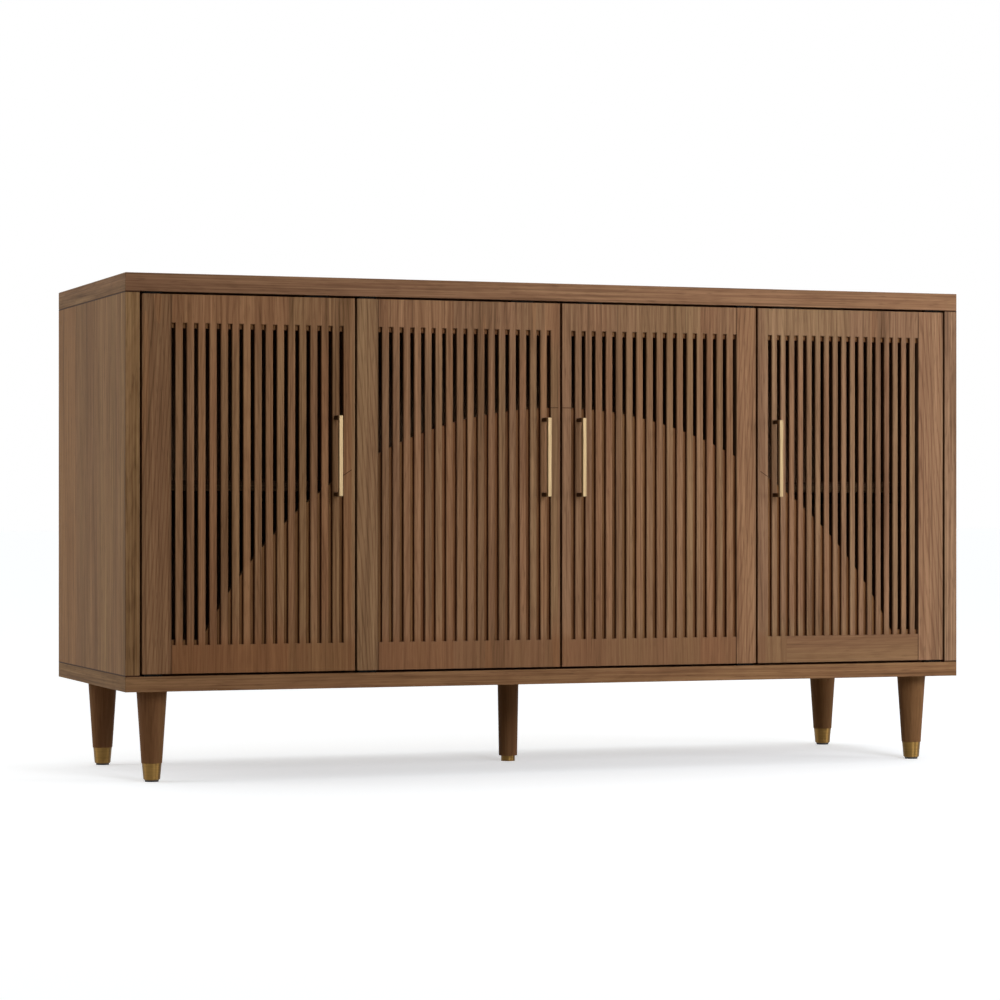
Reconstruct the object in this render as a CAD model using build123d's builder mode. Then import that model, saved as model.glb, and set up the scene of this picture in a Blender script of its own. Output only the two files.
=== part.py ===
from build123d import *
import os
from math import sqrt

# Sideboard buffet: a veneered case on five legs, closed by four inset doors on knife hinges.
# Slots run down every door. A wide arch is cut across the boards behind the slats: above it the
# slots are open to the inside, below it they are grooves.
# Millimetres. +X is right, the doors face -Y, +Z is up. The origin lies on the floor under the middle
# of the whole object, pulls included.

os.makedirs("parts", exist_ok=True)

# Case
WIDTH = 1524.0
DEPTH = 520.0
BODY_HEIGHT = 686.0
TOP_THICK = 30.0
BOTTOM_THICK = 25.0
SIDE_THICK = 24.0
DIVIDER_THICK = 18.0
BACK_THICK = 6.0
BACK_LAP = 10.0  # how far the back board runs into the rebates of the case
BACK_PLAY = 0.3
EASE = 0.5  # chamfer along the arrises of panels
FIT = 0.05  # radial or side clearance of glued and pressed pieces

# Loose tongues that join the uprights to the top and the bottom
SPLINE_THICK = 6.0
SPLINE_HOLD = 10.0  # depth of the tongue in each of the two panels
SPLINE_MARGIN = 40.0  # from the end of a tongue to the edge of the upright

# Shelves and the cleats that carry them
SHELF_THICK = 18.0
SHELF_RISE = 305.0  # from the inside floor to the underside of a shelf
SHELF_PLAY = 1.0
SHELF_SETBACK = 110.0  # behind the front edge of the dividers
CLEAT_WIDTH = 15.0
CLEAT_HEIGHT = 20.0
CLEAT_SETBACK = 12.0  # behind the front edge of the shelf

# Doors
DOOR_GAP = 4.0
SLAT_THICK = 5.5
BACKING_THICK = 14.5
RAIL = 47.0  # above and below the slots
SLOT_WIDTH = 7.0
SLOT_EASE = 1.0  # chamfer along the slots
SLOT_COUNTS = (16, 17, 17, 18)
OUTER_HINGE_STILE = 49.0
OUTER_PULL_STILE = 20.0
INNER_HINGE_STILE = 37.0
INNER_PULL_STILE = 17.0
WINDOW_LIP = 8.0  # how far the backing shows at the ends of the slots
WINDOW_SIDE = 3.0  # how far the window reaches past the last slot
ARCH_RADIUS = 708.0
ARCH_RISE = 397.0  # crown of the arch above the foot of the slots

# Knife hinges: a leaf in each end of a door turns on the pin of a leaf in the case
PIVOT_INSET = 24.0  # from the hinge edge of a door to its pivot
PIVOT_DIAMETER = 6.0
PIVOT_RUNNING = 0.05  # radial clearance of a pin in its leaf
PIVOT_SHORT = 0.5  # from the end of a pin to the bottom of the door leaf's pocket
LEAF_START = 4.0  # from the hinge edge of a door to the near end of its leaves
LEAF_LENGTH = 30.0
LEAF_WIDTH = 14.0
LEAF_SUNK = 3.0  # depth of a leaf in the door or the case
LEAF_PROUD = 1.0  # how far a door leaf stands out of the end of its stile
LEAF_PLAY = 0.3  # between the two leaves of a hinge
SWING_CLEAR = 4.0  # between the inner swing of a door and a divider

# Pulls
PULL_CENTRES = 128.0
PULL_BAR = 7.0
PULL_REACH = 30.0
PULL_RISE = 388.0  # from the underside of the case to the middle of a pull
PULL_EASE = 0.8

# Magnetic catches
CATCH_INSET = 60.0  # from the free edge of a door to the middle of its catch
CATCH_LENGTH = 42.0
CATCH_DEPTH = 16.0
CATCH_HEIGHT = 20.0
CATCH_GAP = 0.3  # between a magnet and its strike
MAGNET_LENGTH = 30.0
MAGNET_HEIGHT = 7.0
MAGNET_DEPTH = 8.0
MAGNET_PROUD = 0.6
STRIKE_LENGTH = 36.0
STRIKE_HEIGHT = 9.0
STRIKE_THICK = 1.5

# Legs
LEG_HEIGHT = 152.0
LEG_INSET_SIDE = 59.0
LEG_INSET_FRONT = 62.0
LEG_INSET_BACK = 92.0
LEG_TOP_DIAMETER = 51.0
LEG_END_DIAMETER = 34.6
LEG_TENON_DIAMETER = 26.0
LEG_TENON_LENGTH = 18.0
FERRULE_HEIGHT = 28.0
FERRULE_TOP_DIAMETER = 33.0
FERRULE_END_DIAMETER = 28.0
FERRULE_WALL = 1.5  # at its thin end; the bore is straight
FERRULE_FLOOR = 2.0
FERRULE_CHAMFER = 1.5
GLIDE_DIAMETER = 23.0
GLIDE_THICK = 3.0
CENTRE_LEG_BEHIND = 265.0  # from the front of the case to the axis of the centre leg
CENTRE_LEG_TOP_DIAMETER = 38.0
CENTRE_LEG_END_DIAMETER = 33.0
CENTRE_FOOT_DIAMETER = 25.0
CENTRE_FOOT_HEIGHT = 10.0

# Places that follow from the sizes
front = PULL_REACH - (DEPTH + PULL_REACH) / 2
rear = front + DEPTH
case_mid = (front + rear) / 2
case_bottom = LEG_HEIGHT
case_top = case_bottom + BODY_HEIGHT
inside_floor = case_bottom + BOTTOM_THICK
ceiling = case_top - TOP_THICK
inside_height = ceiling - inside_floor
inside_mid = (ceiling + inside_floor) / 2
inside_half = WIDTH / 2 - SIDE_THICK
back_face = rear - BACK_THICK

door_width = (2 * inside_half - 5 * DOOR_GAP) / 4
door_height = inside_height - 2 * DOOR_GAP
door_bottom = inside_floor + DOOR_GAP
door_top = ceiling - DOOR_GAP
door_thick = SLAT_THICK + BACKING_THICK
slat_back = front + SLAT_THICK
door_back = front + door_thick
slot_foot = door_bottom + RAIL
slot_head = door_top - RAIL
arch_centre = slot_foot + ARCH_RISE - ARCH_RADIUS

pivot_y = front + door_thick / 2
swing_radius = sqrt(PIVOT_INSET**2 + (door_thick / 2) ** 2)
divider_front = pivot_y + swing_radius + SWING_CLEAR
divider_x = inside_half - door_width - 1.5 * DOOR_GAP

shelf_bottom = inside_floor + SHELF_RISE
shelf_front = divider_front + SHELF_SETBACK
shelf_rear = back_face - SHELF_PLAY
bays = {
    "left": (-inside_half, -divider_x - DIVIDER_THICK / 2),
    "centre": (-divider_x + DIVIDER_THICK / 2, divider_x - DIVIDER_THICK / 2),
    "right": (divider_x + DIVIDER_THICK / 2, inside_half),
}

leg_x = WIDTH / 2 - LEG_INSET_SIDE
leg_places = [
    (x, y) for y in (front + LEG_INSET_FRONT, rear - LEG_INSET_BACK) for x in (-leg_x, leg_x)
]
centre_leg_place = (0.0, front + CENTRE_LEG_BEHIND)
all_leg_places = [*leg_places, centre_leg_place]
ferrule_top = GLIDE_THICK + FERRULE_HEIGHT

pull_height = case_bottom + PULL_RISE
strike_height = ceiling - CATCH_HEIGHT / 2


class Door:
    """Places along one door, measured from its hinge edge towards its free edge."""

    def __init__(self, number):
        outer = number in (1, 4)
        left = -inside_half + DOOR_GAP + (number - 1) * (door_width + DOOR_GAP)
        hinged_left = number <= 2
        self.name = f"door_{number}"
        self.hinge_edge = left if hinged_left else left + door_width
        self.way = 1 if hinged_left else -1
        self.hinge_stile = OUTER_HINGE_STILE if outer else INNER_HINGE_STILE
        self.pull_stile = OUTER_PULL_STILE if outer else INNER_PULL_STILE
        self.slots = SLOT_COUNTS[number - 1]
        field = door_width - self.hinge_stile - self.pull_stile
        self.pitch = (field - SLOT_WIDTH) / (self.slots - 1)
        self.field_x = self.at(self.hinge_stile + field / 2)
        self.pivot_x = self.at(PIVOT_INSET)
        self.leaf_x = self.at(LEAF_START + LEAF_LENGTH / 2)
        self.pull_x = self.at(door_width - self.pull_stile - (SLOT_WIDTH + self.pitch) / 2)
        self.catch_x = self.at(door_width - CATCH_INSET)

    def at(self, distance):
        """X at a distance from the hinge edge."""
        return self.hinge_edge + self.way * distance

    def between(self, start, end):
        """X of the middle of a stretch, and the stretch's width."""
        return self.at((start + end) / 2), end - start


doors = [Door(number) for number in (1, 2, 3, 4)]


def save(builder, name):
    """Label a finished piece and write it under its node's name."""
    builder.part.label = name
    export_step(builder.part, f"parts/{name}.step")


def upright_plane(y):
    """A plane that faces the front at depth y: its axes are X and Z, and it extrudes towards -Y."""
    return Plane.XZ.offset(-y)


def turning_plane(x, y):
    """A plane through the upright axis at x, y: its axes are radius and height."""
    return Plane(origin=(x, y, 0), x_dir=(1, 0, 0), z_dir=(0, -1, 0))


def turning_axis(x, y):
    return Axis((x, y, 0), (0, 0, 1))


def cut_back_rebate():
    """Cut the rebate for the back board out of the panel being made."""
    with BuildSketch(upright_plane(rear)) as rebate:
        with Locations((0, inside_mid)):
            Rectangle(2 * (inside_half + BACK_LAP), inside_height + 2 * BACK_LAP)
    extrude(rebate.sketch, amount=BACK_THICK, mode=Mode.SUBTRACT)


def spline_runs():
    """X, middle and length of the tongue in each upright."""
    side_x = WIDTH / 2 - SIDE_THICK / 2
    side_run = (case_mid, DEPTH - 2 * SPLINE_MARGIN)
    divider_run = ((divider_front + back_face) / 2, back_face - divider_front - 2 * SPLINE_MARGIN)
    return [(-side_x, *side_run), (side_x, *side_run), (-divider_x, *divider_run), (divider_x, *divider_run)]


def cut_spline_grooves(face):
    """Cut the grooves for the tongues on both sides of a joint face at height face."""
    with BuildSketch(Plane.XY.offset(face)) as grooves:
        for x, middle, length in spline_runs():
            with Locations((x, middle)):
                Rectangle(SPLINE_THICK + 2 * FIT, length + 2 * FIT)
    extrude(grooves.sketch, amount=SPLINE_HOLD + FIT, both=True, mode=Mode.SUBTRACT)


def cut_leaf_pockets(face, depth):
    """Let the case leaves of the hinges into a panel; depth is signed along Z."""
    with BuildSketch(Plane.XY.offset(face)) as pockets:
        with Locations(*[(door.leaf_x, pivot_y) for door in doors]):
            Rectangle(LEAF_LENGTH + 2 * FIT, LEAF_WIDTH + 2 * FIT)
    extrude(pockets.sketch, amount=depth, mode=Mode.SUBTRACT)


# Top and bottom run the full width, over and under the sides
with BuildPart() as top_panel:
    with BuildSketch(Plane.XY.offset(ceiling)):
        with Locations((0, case_mid)):
            Rectangle(WIDTH, DEPTH)
    extrude(amount=TOP_THICK)
    chamfer(top_panel.edges(), EASE)
    cut_back_rebate()
    cut_spline_grooves(ceiling)
    cut_leaf_pockets(ceiling, LEAF_SUNK)
save(top_panel, "top_panel")

with BuildPart() as bottom_panel:
    with BuildSketch(Plane.XY.offset(case_bottom)):
        with Locations((0, case_mid)):
            Rectangle(WIDTH, DEPTH)
    extrude(amount=BOTTOM_THICK)
    chamfer(bottom_panel.edges(), EASE)
    cut_back_rebate()
    cut_spline_grooves(inside_floor)
    cut_leaf_pockets(inside_floor, -LEAF_SUNK)
    with BuildSketch(Plane.XY.offset(case_bottom)):
        with Locations(*all_leg_places):
            Circle(LEG_TENON_DIAMETER / 2 + FIT)
    extrude(amount=LEG_TENON_LENGTH + FIT, mode=Mode.SUBTRACT)
save(bottom_panel, "bottom_panel")

# Sides and dividers
for name, way in (("side_left", -1), ("side_right", 1)):
    with BuildPart() as side:
        with BuildSketch(Plane.XY.offset(inside_floor)):
            with Locations((way * (inside_half + SIDE_THICK / 2), case_mid)):
                Rectangle(SIDE_THICK, DEPTH)
        extrude(amount=inside_height)
        chamfer(side.edges(), EASE)
        cut_back_rebate()
        cut_spline_grooves(inside_floor)
        cut_spline_grooves(ceiling)
    save(side, name)

for name, way in (("divider_left", -1), ("divider_right", 1)):
    with BuildPart() as divider:
        with BuildSketch(Plane.XY.offset(inside_floor)):
            with Locations((way * divider_x, (divider_front + back_face) / 2)):
                Rectangle(DIVIDER_THICK, back_face - divider_front)
        extrude(amount=inside_height)
        chamfer(divider.edges().filter_by(Axis.Z).group_by(Axis.Y)[0], EASE)
        cut_spline_grooves(inside_floor)
        cut_spline_grooves(ceiling)
    save(divider, name)

# Tongues in the joints
with BuildPart() as carcass_splines:
    for face in (inside_floor, ceiling):
        with BuildSketch(Plane.XY.offset(face)) as tongues:
            for x, middle, length in spline_runs():
                with Locations((x, middle)):
                    Rectangle(SPLINE_THICK, length)
        extrude(tongues.sketch, amount=SPLINE_HOLD, both=True)
save(carcass_splines, "carcass_splines")

# Back board, let into the rebates
with BuildPart() as back_panel:
    with BuildSketch(upright_plane(rear)):
        with Locations((0, inside_mid)):
            Rectangle(
                2 * (inside_half + BACK_LAP - BACK_PLAY), inside_height + 2 * (BACK_LAP - BACK_PLAY)
            )
    extrude(amount=BACK_THICK)
save(back_panel, "back_panel")

# Shelves, and a cleat under each end of a shelf
for bay, (bay_left, bay_right) in bays.items():
    with BuildPart() as shelf:
        with BuildSketch(Plane.XY.offset(shelf_bottom)):
            with Locations(((bay_left + bay_right) / 2, (shelf_front + shelf_rear) / 2)):
                Rectangle(bay_right - bay_left - 2 * SHELF_PLAY, shelf_rear - shelf_front)
        extrude(amount=SHELF_THICK)
        chamfer(shelf.edges().filter_by(Axis.X).group_by(Axis.Y)[0], EASE)
    save(shelf, f"shelf_{bay}")

cleat_length = shelf_rear - shelf_front - CLEAT_SETBACK
with BuildPart() as shelf_cleats:
    for bay_left, bay_right in bays.values():
        with BuildSketch(Plane.XY.offset(shelf_bottom)) as cleats:
            with Locations(
                (bay_left + CLEAT_WIDTH / 2, shelf_rear - cleat_length / 2),
                (bay_right - CLEAT_WIDTH / 2, shelf_rear - cleat_length / 2),
            ):
                Rectangle(CLEAT_WIDTH, cleat_length)
        extrude(cleats.sketch, amount=-CLEAT_HEIGHT)
save(shelf_cleats, "shelf_cleats")

# Legs: turned tapers with a tenon in the bottom; the corner legs have a second one in a ferrule
bore_radius = FERRULE_END_DIAMETER / 2 - FERRULE_WALL
bore_foot = GLIDE_THICK + FERRULE_FLOOR
with BuildPart() as legs:
    for x, y in leg_places:
        with BuildSketch(turning_plane(x, y)) as half_leg:
            with BuildLine():
                Polyline(
                    (0, case_bottom + LEG_TENON_LENGTH),
                    (LEG_TENON_DIAMETER / 2, case_bottom + LEG_TENON_LENGTH),
                    (LEG_TENON_DIAMETER / 2, case_bottom),
                    (LEG_TOP_DIAMETER / 2, case_bottom),
                    (LEG_END_DIAMETER / 2, ferrule_top),
                    (bore_radius - FIT, ferrule_top),
                    (bore_radius - FIT, bore_foot),
                    (0, bore_foot),
                    close=True,
                )
            make_face()
        revolve(half_leg.sketch, axis=turning_axis(x, y))
    with BuildSketch(turning_plane(*centre_leg_place)) as half_leg:
        with BuildLine():
            Polyline(
                (0, case_bottom + LEG_TENON_LENGTH),
                (LEG_TENON_DIAMETER / 2, case_bottom + LEG_TENON_LENGTH),
                (LEG_TENON_DIAMETER / 2, case_bottom),
                (CENTRE_LEG_TOP_DIAMETER / 2, case_bottom),
                (CENTRE_LEG_END_DIAMETER / 2, CENTRE_FOOT_HEIGHT),
                (0, CENTRE_FOOT_HEIGHT),
                close=True,
            )
        make_face()
    revolve(half_leg.sketch, axis=turning_axis(*centre_leg_place))
save(legs, "legs")

# Ferrules with a glide under each, and the plain foot of the centre leg
with BuildPart() as ferrules:
    for x, y in leg_places:
        with BuildSketch(turning_plane(x, y)) as half_ferrule:
            with BuildLine():
                Polyline(
                    (FERRULE_TOP_DIAMETER / 2, ferrule_top),
                    (FERRULE_END_DIAMETER / 2, GLIDE_THICK + FERRULE_CHAMFER),
                    (FERRULE_END_DIAMETER / 2 - FERRULE_CHAMFER, GLIDE_THICK),
                    (0, GLIDE_THICK),
                    (0, bore_foot),
                    (bore_radius, bore_foot),
                    (bore_radius, ferrule_top),
                    close=True,
                )
            make_face()
        revolve(half_ferrule.sketch, axis=turning_axis(x, y))
    with BuildSketch(Plane.XY) as centre_foot:
        with Locations(centre_leg_place):
            Circle(CENTRE_FOOT_DIAMETER / 2)
    extrude(centre_foot.sketch, amount=CENTRE_FOOT_HEIGHT)
save(ferrules, "ferrules")

with BuildPart() as glides:
    with BuildSketch(Plane.XY):
        with Locations(*leg_places):
            Circle(GLIDE_DIAMETER / 2)
    extrude(amount=GLIDE_THICK)
save(glides, "glides")

# Case leaves of the knife hinges, let into the top and the bottom, with a pin each
case_leaf_proud = DOOR_GAP - LEAF_PROUD - LEAF_PLAY
with BuildPart() as case_leaves:
    with BuildSketch(Plane.XY.offset(inside_floor - LEAF_SUNK)):
        with Locations(*[(door.leaf_x, pivot_y) for door in doors]):
            Rectangle(LEAF_LENGTH, LEAF_WIDTH)
    extrude(amount=LEAF_SUNK + case_leaf_proud)
    with BuildSketch(Plane.XY.offset(inside_floor)):
        with Locations(*[(door.pivot_x, pivot_y) for door in doors]):
            Circle(PIVOT_DIAMETER / 2)
    extrude(amount=DOOR_GAP + LEAF_SUNK - PIVOT_SHORT)
    mirror(about=Plane.XY.offset(inside_mid))
save(case_leaves, "hinge_case_leaves")

# Magnetic catches under the top, one at the free edge of each door
housing_front = door_back + CATCH_GAP + MAGNET_PROUD
with BuildPart() as catch_housings:
    with BuildSketch(upright_plane(housing_front)):
        with Locations(*[(door.catch_x, strike_height) for door in doors]):
            Rectangle(CATCH_LENGTH, CATCH_HEIGHT)
    extrude(amount=-CATCH_DEPTH)
    with BuildSketch(upright_plane(housing_front)):
        with Locations(*[(door.catch_x, strike_height) for door in doors]):
            Rectangle(MAGNET_LENGTH + 2 * FIT, MAGNET_HEIGHT + 2 * FIT)
    extrude(amount=-MAGNET_DEPTH, mode=Mode.SUBTRACT)
save(catch_housings, "catch_housings")

with BuildPart() as catch_magnets:
    with BuildSketch(upright_plane(housing_front + MAGNET_DEPTH)):
        with Locations(*[(door.catch_x, strike_height) for door in doors]):
            Rectangle(MAGNET_LENGTH, MAGNET_HEIGHT)
    extrude(amount=MAGNET_DEPTH + MAGNET_PROUD)
save(catch_magnets, "catch_magnets")


def make_stile(door):
    """The solid hinge stile, with a pocket in both ends for the hinge leaves."""
    x, width = door.between(0, door.hinge_stile)
    with BuildPart() as stile:
        with BuildSketch(Plane.XY.offset(door_bottom)):
            with Locations((x, pivot_y)):
                Rectangle(width, door_thick)
        extrude(amount=door_height)
        chamfer(stile.edges(), EASE)
        for end, depth in ((door_bottom, LEAF_SUNK), (door_top, -LEAF_SUNK)):
            with BuildSketch(Plane.XY.offset(end)):
                with Locations((door.leaf_x, pivot_y)):
                    Rectangle(LEAF_LENGTH + 2 * FIT, LEAF_WIDTH + 2 * FIT)
            extrude(amount=depth, mode=Mode.SUBTRACT)
    save(stile, f"{door.name}_stile")


def make_slats(door):
    """The slotted front panel: two rails, the slats and the narrow stile beside the pull."""
    x, width = door.between(door.hinge_stile, door_width)
    with BuildPart() as slats:
        with BuildSketch(upright_plane(front)):
            with Locations((x, inside_mid)):
                Rectangle(width, door_height)
            with Locations((door.field_x, inside_mid)):
                with GridLocations(door.pitch, 0, door.slots, 1):
                    Rectangle(SLOT_WIDTH, slot_head - slot_foot, mode=Mode.SUBTRACT)
        extrude(amount=-SLAT_THICK)
        chamfer(slats.faces().sort_by(Axis.Y)[0].outer_wire().edges(), EASE)
        slot_mouths = slats.faces().sort_by(Axis.Y)[0].inner_wires()
        chamfer([edge for mouth in slot_mouths for edge in mouth.edges()], SLOT_EASE)
    save(slats, f"{door.name}_slats")


def make_backing(door):
    """The board behind the slats, with a window above the arch."""
    x, width = door.between(door.hinge_stile, door_width)
    window_x, window_width = door.between(door.hinge_stile, door_width - door.pull_stile + WINDOW_SIDE)
    with BuildPart() as backing:
        with BuildSketch(upright_plane(slat_back)):
            with Locations((x, inside_mid)):
                Rectangle(width, door_height)
        extrude(amount=-BACKING_THICK)
        with BuildSketch(upright_plane(slat_back)):
            with Locations((window_x, inside_mid)):
                Rectangle(window_width, slot_head - slot_foot - 2 * WINDOW_LIP)
            with Locations((0, arch_centre)):
                Circle(ARCH_RADIUS, mode=Mode.SUBTRACT)
        extrude(amount=-BACKING_THICK, mode=Mode.SUBTRACT)
        with BuildSketch(upright_plane(door_back)):
            with Locations((door.catch_x, strike_height)):
                Rectangle(STRIKE_LENGTH + 2 * FIT, STRIKE_HEIGHT + 2 * FIT)
        extrude(amount=STRIKE_THICK, mode=Mode.SUBTRACT)
    save(backing, f"{door.name}_backing")


def make_hinge_leaves(door):
    """The hinge leaves in both ends of the stile, bored for the pins."""
    with BuildPart() as leaves:
        with BuildSketch(Plane.XY.offset(door_bottom - LEAF_PROUD)):
            with Locations((door.leaf_x, pivot_y)):
                Rectangle(LEAF_LENGTH, LEAF_WIDTH)
            with Locations((door.pivot_x, pivot_y)):
                Circle(PIVOT_DIAMETER / 2 + PIVOT_RUNNING, mode=Mode.SUBTRACT)
        extrude(amount=LEAF_PROUD + LEAF_SUNK)
        mirror(about=Plane.XY.offset(inside_mid))
    save(leaves, f"{door.name}_hinge_leaves")


def make_pull(door):
    """The bar pull: a square bar bent back at both ends."""
    with BuildPart() as pull:
        with BuildSketch(Plane.YZ.offset(door.pull_x)):
            with Locations((front - PULL_REACH / 2, pull_height)):
                Rectangle(PULL_REACH, PULL_CENTRES + PULL_BAR)
            with Locations((front - (PULL_REACH - PULL_BAR) / 2, pull_height)):
                Rectangle(PULL_REACH - PULL_BAR, PULL_CENTRES - PULL_BAR, mode=Mode.SUBTRACT)
        extrude(amount=PULL_BAR / 2, both=True)
        chamfer(pull.edges().filter_by_position(Axis.Y, front - PULL_REACH, front - EASE), PULL_EASE)
    save(pull, f"{door.name}_pull")


def make_strike(door):
    """The steel plate that the magnet holds, flush in the back of the door."""
    with BuildPart() as strike:
        with BuildSketch(upright_plane(door_back)):
            with Locations((door.catch_x, strike_height)):
                Rectangle(STRIKE_LENGTH, STRIKE_HEIGHT)
        extrude(amount=STRIKE_THICK)
    save(strike, f"{door.name}_strike")


for door in doors:
    make_stile(door)
    make_slats(door)
    make_backing(door)
    make_hinge_leaves(door)
    make_pull(door)
    make_strike(door)
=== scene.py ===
import math

import bpy
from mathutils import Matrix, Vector


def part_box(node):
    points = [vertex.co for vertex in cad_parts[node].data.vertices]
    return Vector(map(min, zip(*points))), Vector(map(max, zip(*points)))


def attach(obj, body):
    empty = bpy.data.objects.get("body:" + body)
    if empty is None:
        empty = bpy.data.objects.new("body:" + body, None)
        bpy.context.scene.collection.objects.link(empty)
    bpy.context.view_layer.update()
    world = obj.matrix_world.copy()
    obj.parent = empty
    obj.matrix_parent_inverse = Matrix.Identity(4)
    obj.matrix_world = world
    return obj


bl_info = {
    "name": "Slatted sideboard",
    "version": (1, 0, 0),
    "blender": (4, 5, 0),
    "location": "View3D > Sidebar > Sideboard",
    "description": "Finishes a walnut sideboard with slotted doors and sets up its studio",
    "category": "Object",
}

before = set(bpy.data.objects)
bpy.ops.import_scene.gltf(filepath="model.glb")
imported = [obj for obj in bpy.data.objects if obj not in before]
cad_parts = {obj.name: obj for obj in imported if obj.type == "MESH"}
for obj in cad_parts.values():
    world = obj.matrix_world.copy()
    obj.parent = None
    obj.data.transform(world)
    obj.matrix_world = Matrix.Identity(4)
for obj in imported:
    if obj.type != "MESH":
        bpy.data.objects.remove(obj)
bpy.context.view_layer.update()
MM = 0.001
# Points of the CAD model that are this close count as one
NEAR = 0.1 * MM
DOORS = (1, 2, 3, 4)
LEFT_HUNG = (1, 2)

# Sockets of a Mix node and its settings: blends of vectors, blends of colours and tints
FACTOR, A_VECTOR, B_VECTOR, A_COLOUR, B_COLOUR = 0, 4, 5, 6, 7
VECTOR_OUT, COLOUR_OUT = 1, 2
VECTORS = {"data_type": "VECTOR"}
COLOURS = {"data_type": "RGBA"}
TINTED = {"data_type": "RGBA", "blend_type": "MULTIPLY"}

# Turns that bring the grain onto the pattern's Z axis and the width of a leaf onto its X axis
UPRIGHT_FRONT = (0.0, 0.0, 0.0)
UPRIGHT_SIDE = (0.0, 0.0, -math.pi / 2)
LENGTHWISE = (-math.pi / 2, -math.pi / 2, 0.0)
# Places in the log: the seed of each piece, to which a door adds its number, the steps from seed
# to seed, and how far apart the leaves of a panel lie
SEEDS = {
    "top_panel": 1,
    "bottom_panel": 2,
    "side_left": 11,
    "side_right": 12,
    "divider_left": 13,
    "divider_right": 14,
    "shelves": 21,
    "cleats": 22,
    "back_panel": 23,
    "stile": 30,
    "slats": 40,
    "backing": 50,
    "legs": 61,
}
SEED_STEPS = (0.37, 0.73, 1.9)
LEAF_SCATTER = (0.5, 0.5, 3.0)
# Widths of the leaves on the pieces that don't have the usual one
LEAVES = {"panels": 0.26, "uprights": 0.6, "back_panel": 0.3, "legs": 0.35}
# Hue, saturation and brightness of pieces whose veneers come from different parts of the log, some
# also with painted light or shade, as marked
UPRIGHT_SHADE = (0.506, 1.02, 1.0)
SHADES = {
    "top_panel": (0.5, 0.95, 0.98),
    "bottom_panel": (0.495, 1.02, 1.03),
    "side_left": UPRIGHT_SHADE,
    # The right side is lighter and paler than the left: partly veneer, partly painted light falling
    # from the right
    "side_right": (0.502, 0.92, 1.06),
    "divider_left": UPRIGHT_SHADE,
    "divider_right": UPRIGHT_SHADE,
    # Painted shade: the shelves and cleats are drawn dark, so that the open slots look deep
    "shelves": (0.5, 1.0, 0.38),
    "back_panel": (0.5, 0.95, 0.9),
    "legs": (0.498, 1.07, 0.79),
    # The doors grow paler towards the right: partly veneer, partly painted light falling from the
    # right
    "door_1": (0.5, 1.0, 1.04),
    "door_2": (0.5, 0.97, 1.02),
    "door_3": (0.5, 0.96, 1.02),
    "door_4": (0.5, 0.94, 1.04),
}
# Leaves and slats differ a little in tone and warmth
LEAF_TINTS = (
    (0.0, "#e9e7e4"),
    (1.0, "#fbf4ec"),
    (0.2, "#f8f4f6"),
    (0.4, "#f3f7f0"),
    (0.6, "#f4f2f0"),
    (0.8, "#fbf2ef"),
)
WARMTH_WEIGHT = 0.6

# Lengths of the drawn-out patterns, and the width of the broadest
CLOUD_WIDTH = 55 * MM
CLOUD_LENGTH = 900 * MM
STREAK_LENGTH = 500 * MM
FIBRE_LENGTH = 170 * MM
LINE_LENGTH = 420 * MM
LINE_WIDENING = 1.2
# Pores are 0.2 mm wide, drawn coarser so that they show
PORE_WIDTH = 2.0 * MM
PORE_LENGTH = 26.0 * MM
# Noise at which dark lines and pores start and are full, and how dark they are then
LINE_MARKS = (0.6, 0.75, 0.4)
PORE_MARKS = (0.58, 0.75, 0.35)
# Growth of the log's radius per length, and the cut's distance from its heart: tall narrow arches
LOG_TAPER = 0.09
HEART = 14.0 * MM
# Where the heart may lie, from just outside one edge of a leaf to just outside the other
HEART_RANGE = 1.2
HEART_START = -0.1
# How far the rings wander, how ragged they are, and the height of the wave from which they are dark
RING_WANDER = 40 * MM
RING_RAGGED = 2.0
RING_DARK = 0.3
# Shares of the patterns in the tone of the wood, and the places of the three colours on its scale
BROAD_SHARE = 0.5
STREAK_SHARE = 0.5
FIBRE_SHARE = 0.8
RING_SHARE = -0.16
FIGURE_LIFT = 0.05
TONE_DROP = 0.38
MIDDLE_TONE = 0.5
DARK_TONE = 0.15
LIGHT_TONE = 0.85
# Open grain under the lacquer
PORE_SINK = -1.5
GRAIN_STRENGTH = 0.4
GRAIN_HEIGHT = 0.15 * MM
ROUGHNESS_SPREAD = 0.06

# Faces whose normal has this share along X are the ends of a panel
END_FACING = 0.7
# The joint of the front edging of an upright: behind its corner, drawn wide so that it shows
EDGING_DEPTH = 2.7 * MM
EDGING_SEAM = 4 * MM
EDGING_STRENGTH = 0.7
# The joint between the stile and the slats of a door is fainter
STILE_STRENGTH = 0.5
# On a slotted front: a place inside the slots, numbers of slats that count as one, how the slats
# fade into the rails, and how calm the lower rail is
INSIDE_SLOT = 2 * MM
SAME_SLAT = 0.5
SLATS_FADE = 60 * MM
RAIL_ABOVE = 15 * MM
RAIL_BELOW = 5 * MM
RAIL_CALM = 0.4
# The door whose lower rail has its grain crossways, from this slat on
CROSS_RAIL_DOOR = 4
CROSS_RAIL_START = 1.5
# Painted shade in a groove, darker deeper in: where it starts below the face and is full above the
# floor, and where its painted shade in the corners starts and is full beside the walls
GROOVE_SHADE_START = 0.2 * MM
GROOVE_SHADE_FULL = 1.5 * MM
CORNER_SHADE_START = 3 * MM
CORNER_SHADE_FULL = 0.5 * MM

# A finish: the places of its two colours on the scale, its spread of roughness, its relief, and
# the depth in which its painted shade sets in
FINISH_DARK = 0.3
FINISH_LIGHT = 0.7
FINISH_SPREAD = 0.08
FINISH_STRENGTH = 0.3
FINISH_HEIGHT = 0.05 * MM
POST_SHADE_FADE = 3 * MM
MOULDED_GRAIN = (0.8 * MM, 0.8 * MM, 0.8 * MM)

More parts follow.
